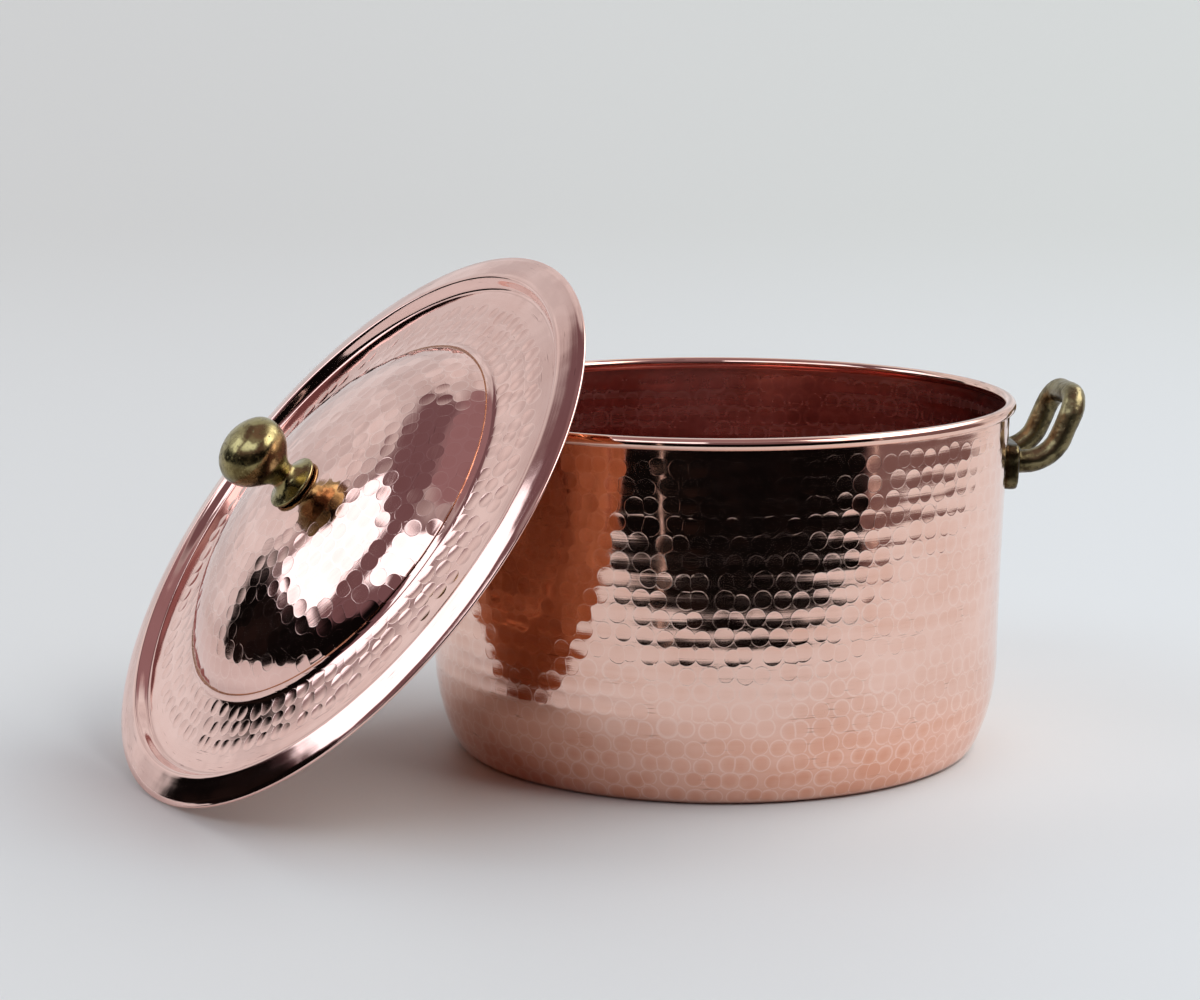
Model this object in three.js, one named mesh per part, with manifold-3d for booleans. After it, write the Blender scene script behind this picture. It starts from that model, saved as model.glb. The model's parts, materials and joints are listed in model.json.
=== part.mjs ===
// Hammered copper stock pot with two cast brass handles, and its loose lid leaning beside it.
// Millimetres, +Z up. The origin is the centre of the pot's flat base, and the handles lie along X.
import * as THREE from 'three';
import { mergeVertices } from 'three/addons/utils/BufferGeometryUtils.js';
import Module from 'manifold-3d';

const wasm = await Module();
wasm.setup();

// Driving dimensions
const SEGMENTS = 48;                 // facets round the pot and the lid
const SHEET = 1.2;                   // copper sheet thickness
const GAP = 0.3;                     // clearance between neighbouring pieces
const FULL_TURN = 2 * Math.PI;

const POT = {
  height: 154,                       // to the top of the rolled rim
  rimRadius: 130,                    // outside of the rolled rim
  beadRadius: 2.6,                   // section of the rolled rim
  baseRadius: 109.5,                 // flat part of the base
  footArc: 6.4,                      // tight arc from the base to the shoulder
  footTurn: 1.12,                    // how far that arc turns, from level
  shoulderArc: 86,                   // wide arc from there into the wall
  wallLean: 0.0115,                  // the wall's outward lean where it starts
  wallTop: 127.6,                    // wall radius under the rim
  flareShare: 0.33,                  // share of the wall's flare that is straight, not curved
};
const BEAD = { radius: POT.rimRadius - POT.beadRadius, height: POT.height - POT.beadRadius };
const BEAD_SEAM = THREE.MathUtils.degToRad(-57);   // where the curled edge ends, under the rim

const HANDLE = {
  barRadius: 5.2,
  legSpacing: 33.6,                  // between the two legs' centre lines
  cornerRadius: 9.7,                 // corners of the loop's far end
  height: 122.2,                     // centre of the base plate, and of the rivets
  legHeight: 123.3,                  // where the legs leave the plate
  plateLength: 60,
  plateHeight: 20,
  plateThickness: 6,
  plateCorner: 5,
  bendStart: 135.6,                  // distance from the pot's axis where the legs turn up
  bendRadius: 17.5,
  bendAngle: THREE.MathUtils.degToRad(66.3),
  reach: 46.8,                       // length along a leg's line from the wall to the loop's end
  legStart: 128,                     // where a leg starts, inside the plate
};

const RIVET = {
  shankRadius: 2.5,
  headRadius: 5.5,
  headThickness: 1.3,
  domeRadius: 4.3,
  domeHeight: 2,
  turn: 3.0,                         // degrees either side of the handle's middle
};

const LID = {
  radius: 138.7,                     // edge of the flange
  ridgeRadius: 126.4,                // crest that sits over the pot's rim
  ridgeHeight: 3.3,                  // crest above the edge
  trayRadius: 122.6,                 // foot of the step inside the crest
  trayHeight: -1.4,
  creaseRadius: 88.7,                // where the dome starts
  creaseHeight: 2.1,
  domeRise: 26,
  domeFullness: 0.675,               // below 1 the dome is fuller than a parabola
  tilt: THREE.MathUtils.degToRad(50.6),      // its axis from vertical, as it leans
  turn: THREE.MathUtils.degToRad(-161.5),    // direction that its top faces
  centre: new THREE.Vector2(-166.7, -32.2),  // plan position of the middle of its edge
};
const LID_APEX = LID.creaseHeight + LID.domeRise;

const KNOB = {
  height: 35,
  ballRadius: 15.6,
  ballHeight: 24.1,                  // height of the widest point
  neckRadius: 5.8,
  neckHeight: 6.9,
  footRadius: 12.2,
  footThickness: 1.8,
  boreDepth: 15,
};
const SCREW = { radius: 2.5, headRadius: 6, headHeight: 3.2, length: 17, slotWidth: 1.2, slotDepth: 1.2 };
const WASHER = { radius: 9, thickness: 1.2 };

// Shapes

function arcPoints(centre, radius, from, to, steps) {
  const points = [];
  for (let i = 0; i <= steps; i += 1) {
    const angle = from + (to - from) * i / steps;
    points.push(new THREE.Vector2(centre.x + radius * Math.cos(angle), centre.y + radius * Math.sin(angle)));
  }
  return points;
}

// Turns an outline of (radius, height) points round Z.
function turned(outline, segments = SEGMENTS) {
  return new THREE.LatheGeometry(outline, segments).rotateX(Math.PI / 2);
}

function solidOf(geometry) {
  const bare = geometry.clone();
  bare.deleteAttribute('normal');
  bare.deleteAttribute('uv');
  const merged = mergeVertices(bare, 1e-4);
  const triangles = [];
  const index = merged.index.array;
  for (let i = 0; i < index.length; i += 3) {
    const [a, b, c] = [index[i], index[i + 1], index[i + 2]];
    if (a !== b && b !== c && a !== c) {
      triangles.push(a, b, c);
    }
  }
  return new wasm.Manifold(new wasm.Mesh({
    numProp: 3,
    vertProperties: new Float32Array(merged.attributes.position.array),
    triVerts: new Uint32Array(triangles),
  }));
}

function geometryOf(solid) {
  const mesh = solid.getMesh();
  const geometry = new THREE.BufferGeometry();
  geometry.setAttribute('position', new THREE.BufferAttribute(mesh.vertProperties, 3));
  geometry.setIndex(new THREE.BufferAttribute(mesh.triVerts, 1));
  geometry.computeVertexNormals();
  return geometry;
}

// A cylinder that lies along X between two distances from the pot's axis.
function radialPin(radius, from, to, segments = 14) {
  const length = to - from;
  return new THREE.CylinderGeometry(radius, radius, length, segments)
    .rotateZ(Math.PI / 2)
    .translate(from + length / 2, 0, 0);
}

// Pot

const SHOULDER_START = new THREE.Vector2(
  POT.baseRadius + POT.footArc * Math.sin(POT.footTurn),
  POT.footArc * (1 - Math.cos(POT.footTurn)),
);
const WALL_FOOT = new THREE.Vector2(
  SHOULDER_START.x + POT.shoulderArc * (Math.cos(POT.wallLean) - Math.sin(POT.footTurn)),
  SHOULDER_START.y + POT.shoulderArc * (Math.cos(POT.footTurn) - Math.sin(POT.wallLean)),
);

// Outside radius of the wall at a height above the shoulder.
function wallRadius(height) {
  const u = (height - WALL_FOOT.y) / (BEAD.height - WALL_FOOT.y);
  const flare = POT.flareShare * u + (1 - POT.flareShare) * u * u;
  return WALL_FOOT.x + (POT.wallTop - WALL_FOOT.x) * flare;
}

// The base, shoulder and wall from the middle of the base up to the rim, moved in by an inset.
function potFace(inset, wallHeights) {
  const footCentre = new THREE.Vector2(POT.baseRadius, POT.footArc);
  const shoulderCentre = new THREE.Vector2(
    SHOULDER_START.x - POT.shoulderArc * Math.sin(POT.footTurn),
    SHOULDER_START.y + POT.shoulderArc * Math.cos(POT.footTurn),
  );
  const down = -Math.PI / 2;
  const foot = arcPoints(footCentre, POT.footArc - inset, down, down + POT.footTurn, 2);
  const shoulder = arcPoints(shoulderCentre, POT.shoulderArc - inset, down + POT.footTurn, -POT.wallLean, 4);
  const wall = wallHeights.map((height) => new THREE.Vector2(wallRadius(height) - inset, height));
  return [new THREE.Vector2(0, inset), ...foot, ...shoulder.slice(1), ...wall];
}

// One sheet: base, wall, and the rim curled outwards round its wire, with an open seam underneath.
function potOutline() {
  const wallHeights = [80, 115, BEAD.height - POT.beadRadius];
  const bead = new THREE.Vector2(BEAD.radius, BEAD.height);
  const hollow = POT.beadRadius - SHEET;
  const wallOut = Math.asin((POT.wallTop - BEAD.radius) / hollow) - Math.PI / 2;
  const wallIn = Math.asin((POT.wallTop - SHEET - BEAD.radius) / POT.beadRadius) - Math.PI / 2;
  const curlInside = arcPoints(bead, hollow, wallOut, BEAD_SEAM - FULL_TURN, 7);
  const curlOutside = arcPoints(bead, POT.beadRadius, BEAD_SEAM, wallIn + FULL_TURN, 9);
  const outside = potFace(0, wallHeights);
  const inside = potFace(SHEET, wallHeights.slice(0, -1));
  return [...outside, ...curlInside, ...curlOutside, ...inside.reverse()];
}

// Runs a function once for each rivet, with the angles of its handle and of the rivet itself.
function eachRivet(run) {
  for (const [side, handleAngle] of [['right', 0], ['left', 180]]) {
    for (const [place, turn] of [['front', -RIVET.turn], ['rear', RIVET.turn]]) {
      const facing = side === 'right' ? turn : -turn;
      run(`rivet_${side}_${place}`, THREE.MathUtils.degToRad(handleAngle + facing));
    }
  }
}

const PLATE_INSIDE = wallRadius(HANDLE.height) + GAP;
const PLATE_OUTSIDE = PLATE_INSIDE + HANDLE.plateThickness;

function potBody() {
  let body = solidOf(turned(potOutline()));
  eachRivet((name, angle) => {
    const hole = radialPin(RIVET.shankRadius + GAP, PLATE_INSIDE - 8, PLATE_OUTSIDE)
      .translate(0, 0, HANDLE.height)
      .rotateZ(angle);
    body = body.subtract(solidOf(hole));
  });
  return geometryOf(body);
}

function rimWire() {
  const wireRadius = POT.beadRadius - SHEET - GAP;
  return new THREE.TorusGeometry(BEAD.radius, wireRadius, 6, SEGMENTS).translate(0, 0, BEAD.height);
}

// Handles

// A point of the loop's centre line: along is the distance out along the legs, across is sideways.
function loopPoint(along, across) {
  const straight = HANDLE.bendStart - HANDLE.legStart;
  const bend = HANDLE.bendRadius * HANDLE.bendAngle;
  const turnedBy = THREE.MathUtils.clamp((along - straight) / HANDLE.bendRadius, 0, HANDLE.bendAngle);
  const rest = Math.max(0, along - straight - bend);
  return new THREE.Vector3(
    HANDLE.legStart + Math.min(along, straight)
      + HANDLE.bendRadius * Math.sin(turnedBy) + rest * Math.cos(HANDLE.bendAngle),
    across,
    HANDLE.legHeight + HANDLE.bendRadius * (1 - Math.cos(turnedBy)) + rest * Math.sin(HANDLE.bendAngle),
  );
}

function loopLine() {
  const half = HANDLE.legSpacing / 2;
  const corner = HANDLE.cornerRadius;
  const legEnd = HANDLE.reach - corner;
  const side = [];
  for (let i = 0; i <= 9; i += 1) {
    side.push([legEnd * i / 9, -half]);
  }
  for (let i = 1; i <= 5; i += 1) {
    const angle = (Math.PI / 2) * i / 5;
    side.push([legEnd + corner * Math.sin(angle), -half + corner * (1 - Math.cos(angle))]);
  }
  const far = side.map(([along, across]) => [along, -across]).reverse();
  return new THREE.CatmullRomCurve3([...side, [HANDLE.reach, 0], ...far].map(([a, b]) => loopPoint(a, b)));
}

function loopBar() {
  const section = new THREE.Shape();
  section.absarc(0, 0, HANDLE.barRadius, 0, FULL_TURN);
  return new THREE.ExtrudeGeometry(section, { extrudePath: loopLine(), steps: 34, curveSegments: 5 });
}

// The base plate is a patch of a ring that follows the wall, cut to a rounded rectangle.
function basePlate() {
  const half = HANDLE.plateHeight / 2;
  const low = HANDLE.height - half;
  const high = HANDLE.height + half;
  const inside = (height) => wallRadius(height) + GAP;
  const ring = turned([
    new THREE.Vector2(inside(low), low),
    new THREE.Vector2(inside(low) + HANDLE.plateThickness, low),
    new THREE.Vector2(inside(high) + HANDLE.plateThickness, high),
    new THREE.Vector2(inside(high), high),
    new THREE.Vector2(inside(low), low),
  ]);
  const w = HANDLE.plateLength / 2;
  const r = HANDLE.plateCorner;
  const outline = new THREE.Shape()
    .moveTo(-w + r, -half)
    .lineTo(w - r, -half)
    .absarc(w - r, -half + r, r, -Math.PI / 2, 0)
    .lineTo(w, half - r)
    .absarc(w - r, half - r, r, 0, Math.PI / 2)
    .lineTo(-w + r, half)
    .absarc(-w + r, half - r, r, Math.PI / 2, Math.PI)
    .lineTo(-w, -half + r)
    .absarc(-w + r, -half + r, r, Math.PI, 1.5 * Math.PI);
  const cutter = new THREE.ExtrudeGeometry(outline, { depth: 60, curveSegments: 4, bevelEnabled: false })
    .rotateX(Math.PI / 2)
    .rotateZ(Math.PI / 2)
    .translate(100, 0, HANDLE.height);
  return solidOf(ring).intersect(solidOf(cutter));
}

function handle(angle) {
  let casting = basePlate().add(solidOf(loopBar()));
  for (const turn of [-RIVET.turn, RIVET.turn]) {
    const hole = radialPin(RIVET.shankRadius + GAP, PLATE_INSIDE - 8, PLATE_OUTSIDE + 8)
      .translate(0, 0, HANDLE.height)
      .rotateZ(THREE.MathUtils.degToRad(turn));
    casting = casting.subtract(solidOf(hole));
  }
  return geometryOf(casting).rotateZ(angle);
}

// A solid rivet: flat head inside the pot, shank through wall and plate, hammered dome outside.
function rivet(angle) {
  const facetSag = Math.cos(Math.PI / SEGMENTS);
  const seat = (wallRadius(HANDLE.height - RIVET.headRadius) - SHEET) * facetSag - GAP;
  const tail = PLATE_OUTSIDE + GAP;
  const outline = [
    new THREE.Vector2(0, seat - RIVET.headThickness),
    new THREE.Vector2(RIVET.headRadius - 0.8, seat - RIVET.headThickness),
    new THREE.Vector2(RIVET.headRadius, seat - 0.5),
    new THREE.Vector2(RIVET.headRadius, seat),
    new THREE.Vector2(RIVET.shankRadius, seat),
    new THREE.Vector2(RIVET.shankRadius, tail),
    new THREE.Vector2(RIVET.domeRadius, tail),
    new THREE.Vector2(RIVET.domeRadius * 0.85, tail + RIVET.domeHeight * 0.55),
    new THREE.Vector2(RIVET.domeRadius * 0.5, tail + RIVET.domeHeight * 0.9),
    new THREE.Vector2(0, tail + RIVET.domeHeight),
  ];
  return turned(outline, 14).rotateY(Math.PI / 2).translate(0, 0, HANDLE.height).rotateZ(angle);
}

// Lid, in its own frame: Z along the knob, 0 at the top of its edge

function domeHeight(radius) {
  const share = Math.max(0, 1 - (radius / LID.creaseRadius) ** 2);
  return LID.creaseHeight + LID.domeRise * share ** LID.domeFullness;
}

// The top face from the screw hole out to the edge.
function lidTopFace() {
  const hole = SCREW.radius + GAP;
  const dome = [hole, 12, 30, 47, 62, 74, 82, 87];
  const round = LID.ridgeHeight - 0.5;
  return [
    ...dome.map((radius) => new THREE.Vector2(radius, domeHeight(radius))),
    new THREE.Vector2(LID.creaseRadius + 0.4, LID.creaseHeight - 0.1),
    new THREE.Vector2(106, (LID.creaseHeight + LID.trayHeight) / 2),
    new THREE.Vector2(LID.trayRadius - 1, LID.trayHeight),
    new THREE.Vector2(LID.trayRadius + 0.9, LID.trayHeight + 1),
    new THREE.Vector2(LID.ridgeRadius - 1.2, round),
    new THREE.Vector2(LID.ridgeRadius, LID.ridgeHeight),
    new THREE.Vector2(LID.ridgeRadius + 1.6, LID.ridgeHeight - 0.25),
    new THREE.Vector2(133, 1.75),
    new THREE.Vector2(LID.radius - 1, 0.35),
    new THREE.Vector2(LID.radius, -0.3),
  ];
}

// The underside is the top face moved in by the sheet's thickness, point by point.
function lidOutline() {
  const top = lidTopFace();
  const under = top.map((point, i) => {
    const before = top[Math.max(0, i - 1)];
    const after = top[Math.min(top.length - 1, i + 1)];
    const along = after.clone().sub(before).normalize();
    const inner = i === 0 ? new THREE.Vector2(0, -1) : new THREE.Vector2(along.y, -along.x);
    return point.clone().addScaledVector(inner, SHEET);
  });
  under[under.length - 1].set(LID.radius - 0.2, -SHEET - 0.3);
  return [...under, ...top.reverse(), under[0].clone()];
}

function knob() {
  const bore = SCREW.radius + GAP;
  const outline = new THREE.Path()
    .moveTo(0, KNOB.boreDepth)
    .lineTo(bore, KNOB.boreDepth)
    .lineTo(bore, 0)
    .lineTo(KNOB.footRadius - 0.7, 0)
    .lineTo(KNOB.footRadius, 0.7)
    .lineTo(KNOB.footRadius, KNOB.footThickness)
    .bezierCurveTo(
      KNOB.neckRadius + 3, KNOB.footThickness + 0.6,
      KNOB.neckRadius, KNOB.neckHeight - 2.4,
      KNOB.neckRadius, KNOB.neckHeight,
    )
    .bezierCurveTo(
      KNOB.neckRadius, KNOB.neckHeight + 5,
      KNOB.ballRadius, KNOB.ballHeight - 9,
      KNOB.ballRadius, KNOB.ballHeight,
    )
    .absellipse(0, KNOB.ballHeight, KNOB.ballRadius, KNOB.height - KNOB.ballHeight, 0, Math.PI / 2);
  const points = outline.getPoints(5);
  points[points.length - 1].x = 0;
  return turned(points, 24);
}

// A slotted cheese-head screw, from its head inside the lid up into the knob.
function knobScrew() {
  const outline = [
    new THREE.Vector2(0, -SCREW.headHeight),
    new THREE.Vector2(SCREW.headRadius - 0.8, -SCREW.headHeight),
    new THREE.Vector2(SCREW.headRadius, -SCREW.headHeight + 0.8),
    new THREE.Vector2(SCREW.headRadius, 0),
    new THREE.Vector2(SCREW.radius, 0),
    new THREE.Vector2(SCREW.radius, SCREW.length),
    new THREE.Vector2(0, SCREW.length),
  ];
  const slot = new THREE.BoxGeometry(2 * SCREW.headRadius + 1, SCREW.slotWidth, 2 * SCREW.slotDepth)
    .translate(0, 0, -SCREW.headHeight);
  return geometryOf(solidOf(turned(outline, 16)).subtract(solidOf(slot)));
}

function knobWasher() {
  const bore = SCREW.radius + GAP;
  return turned([
    new THREE.Vector2(bore, 0),
    new THREE.Vector2(WASHER.radius, 0),
    new THREE.Vector2(WASHER.radius, WASHER.thickness),
    new THREE.Vector2(bore, WASHER.thickness),
    new THREE.Vector2(bore, 0),
  ], 16);
}

// Assembly

const copper = { color: 0xd8997c, roughness: 0.22, metalness: 1 };
const brass = { color: 0x9c8a52, roughness: 0.34, metalness: 1 };
const steel = { color: 0x9a9a98, roughness: 0.4, metalness: 1 };

const group = new THREE.Group();

function addPiece(parent, name, geometry, look) {
  const mesh = new THREE.Mesh(geometry, new THREE.MeshStandardMaterial(look));
  mesh.name = name;
  parent.add(mesh);
  return mesh;
}

addPiece(group, 'pot_body', potBody(), copper);
addPiece(group, 'rim_wire', rimWire(), steel);
addPiece(group, 'handle_right', handle(0), brass);
addPiece(group, 'handle_left', handle(Math.PI), brass);
eachRivet((name, angle) => addPiece(group, name, rivet(angle), copper));

// The lid leans on the left handle with the low side of its edge on the table.
const leaning = new THREE.Group();
const edge = lidOutline();
const lidHeight = Math.max(...edge.map((p) => p.x * Math.sin(LID.tilt) - p.y * Math.cos(LID.tilt)));
leaning.position.set(LID.centre.x, LID.centre.y, lidHeight);
leaning.rotation.set(0, LID.tilt, LID.turn, 'ZYX');
group.add(leaning);

addPiece(leaning, 'lid_shell', turned(edge), copper);
addPiece(leaning, 'lid_knob', knob(), brass).position.z = LID_APEX + GAP;
const washer = addPiece(leaning, 'knob_washer', knobWasher(), brass);
washer.position.z = domeHeight(WASHER.radius) - SHEET - GAP - WASHER.thickness;
addPiece(leaning, 'knob_screw', knobScrew(), brass).position.z = washer.position.z - GAP;

export default group;
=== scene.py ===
"""Hammered copper stock pot with cast brass handles, and its lid leaning beside it."""

import json
import math

import bmesh
import bpy
import numpy as np
from mathutils import Matrix, Vector, noise


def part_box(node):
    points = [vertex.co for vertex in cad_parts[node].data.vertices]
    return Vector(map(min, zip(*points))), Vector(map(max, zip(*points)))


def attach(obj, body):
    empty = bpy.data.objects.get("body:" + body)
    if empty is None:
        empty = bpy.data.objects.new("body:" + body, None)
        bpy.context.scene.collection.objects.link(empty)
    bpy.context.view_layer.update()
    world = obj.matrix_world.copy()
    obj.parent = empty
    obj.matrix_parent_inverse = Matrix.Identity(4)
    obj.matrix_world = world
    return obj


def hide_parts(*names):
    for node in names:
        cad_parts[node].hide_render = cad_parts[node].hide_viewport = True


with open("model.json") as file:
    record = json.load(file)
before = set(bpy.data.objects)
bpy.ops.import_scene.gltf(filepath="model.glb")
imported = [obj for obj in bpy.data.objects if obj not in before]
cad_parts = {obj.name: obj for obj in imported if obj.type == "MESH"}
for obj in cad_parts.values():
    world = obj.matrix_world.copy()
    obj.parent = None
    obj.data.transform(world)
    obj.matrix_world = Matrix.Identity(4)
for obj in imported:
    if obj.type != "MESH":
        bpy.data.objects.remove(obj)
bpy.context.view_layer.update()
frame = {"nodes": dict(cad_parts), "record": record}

MM = 0.001                      # shapes are written in millimetres
FULL_TURN = 2 * math.pi

# ---------------------------------------------------------------- dimensions (mm)
SHEET = 1.2
GAP = 0.3

POT_HEIGHT = 154.0
RIM_RADIUS = 130.0
BEAD = 2.6                      # section radius of the rolled rim
BASE_RADIUS = 109.5
FOOT_ARC = 6.4
FOOT_TURN = 1.12
SHOULDER_ARC = 86.0
WALL_LEAN = 0.0115
WALL_TOP = 127.6
FLARE_SHARE = 0.33

HANDLE_Z = 122.2
RIVET_TURN = math.radians(3.0)

LID_RADIUS = 138.7
RIDGE_INNER, RIDGE_OUTER, RIDGE_HEIGHT = 125.3, 126.7, 3.3
FLANGE_RADIUS, FLANGE_HEIGHT = 133.0, 1.72
TRAY_RADIUS, TRAY_HEIGHT = 122.6, -1.4
CREASE_RADIUS, CREASE_HEIGHT = 88.7, 2.1
DOME_RISE, DOME_FULLNESS = 26.0, 0.675
SCREW_HOLE = 2.8

MARK_PITCH = 8.0                # spacing of the hammer marks along a row
ROW_PITCH = 7.7                 # spacing of the rows
ROW_GROOVE = 0.025              # how far a row lies below the lands beside it
BAND_HALF_WIDTH = 3.3           # half the width of a row's own leaning band


# ---------------------------------------------------------------- camera
def add_camera():
    data = bpy.data.cameras.new("camera")
    data.lens = 91.19
    data.sensor_width = 36.0
    data.sensor_fit = "HORIZONTAL"
    data.clip_start = 0.05
    data.clip_end = 200.0
    camera = bpy.data.objects.new("camera", data)
    camera.location = (-0.2738, -1.2881, 0.3379)
    camera.rotation_euler = (math.radians(90 - 9.954), 0.0, math.radians(-9.784))
    bpy.context.scene.collection.objects.link(camera)
    bpy.context.scene.camera = camera


# ---------------------------------------------------------------- node helpers
class Nodes:
    """Short ways to add and join nodes in one tree."""

    def __init__(self, tree):
        self.tree = tree

    def add(self, kind, **settings):
        node = self.tree.nodes.new(kind)
        for key, value in settings.items():
            setattr(node, key, value)
        return node

    def feed(self, socket, value):
        if isinstance(value, bpy.types.NodeSocket):
            self.tree.links.new(value, socket)
        else:
            socket.default_value = value

    def math(self, operation, *values):
        node = self.add("ShaderNodeMath", operation=operation)
        for socket, value in zip(node.inputs, values):
            self.feed(socket, value)
        return node.outputs[0]

    def ramp(self, value, low, high, out_low=0.0, out_high=1.0):
        node = self.add("ShaderNodeMapRange")
        node.interpolation_type = "SMOOTHSTEP"
        for socket, item in zip(node.inputs, (value, low, high, out_low, out_high)):
            self.feed(socket, item)
        return node.outputs[0]

    def mix(self, factor, first, second):
        node = self.add("ShaderNodeMix", data_type="RGBA")
        for index, value in ((0, factor), (6, first), (7, second)):
            self.feed(node.inputs[index], value)
        return node.outputs[2]

    def noise(self, vector, scale, detail=3.0, roughness=0.5):
        node = self.add("ShaderNodeTexNoise")
        self.feed(node.inputs["Vector"], vector)
        node.inputs["Scale"].default_value = scale
        node.inputs["Detail"].default_value = detail
        node.inputs["Roughness"].default_value = roughness
        return node.outputs["Fac"]

    def split(self, vector):
        node = self.add("ShaderNodeSeparateXYZ")
        self.feed(node.inputs[0], vector)
        return node.outputs

    def bump(self, height, distance, strength=1.0, normal=None):
        node = self.add("ShaderNodeBump")
        node.inputs["Strength"].default_value = strength
        node.inputs["Distance"].default_value = distance
        self.feed(node.inputs["Height"], height)
        if normal is not None:
            self.feed(node.inputs["Normal"], normal)
        return node.outputs["Normal"]


def new_material(name):
    material = bpy.data.materials.new(name)
    material.use_nodes = True
    nodes = Nodes(material.node_tree)
    shader = material.node_tree.nodes["Principled BSDF"]
    place = nodes.add("ShaderNodeTexCoord").outputs["Object"]
    return material, nodes, shader, place


# ---------------------------------------------------------------- materials
# bare copper on the rubbed rims of the marks, which also serves as a painted highlight round each mark
BARE_COPPER_HIGHLIGHT = (0.98, 0.76, 0.68, 1.0)
PIT_DIRT = (0.035, 0.026, 0.014, 1.0)


def sum_of_squares(nodes, x, y):
    return nodes.math("ADD", nodes.math("MULTIPLY", x, x), nodes.math("MULTIPLY", y, y))


def cap_height(nodes, name):
    """How deep a mark presses the sheet in here (mm), its depth at the middle, and the side of it that
    gets painted shade.
    """
    mark = nodes.add("ShaderNodeAttribute", attribute_name=name).outputs["Vector"]
    x, y, deep = nodes.split(mark)
    square = sum_of_squares(nodes, x, y)
    # painted shade: a crescent on one side of each mark is picked out here, to be darkened as if light
    # fell across the mark
    side = nodes.math("MULTIPLY", nodes.ramp(square, 0.55, 0.95), nodes.ramp(x, 0.15, 0.75))
    return nodes.math("MULTIPLY", deep, nodes.math("SUBTRACT", 1.0, square)), deep, side


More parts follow.
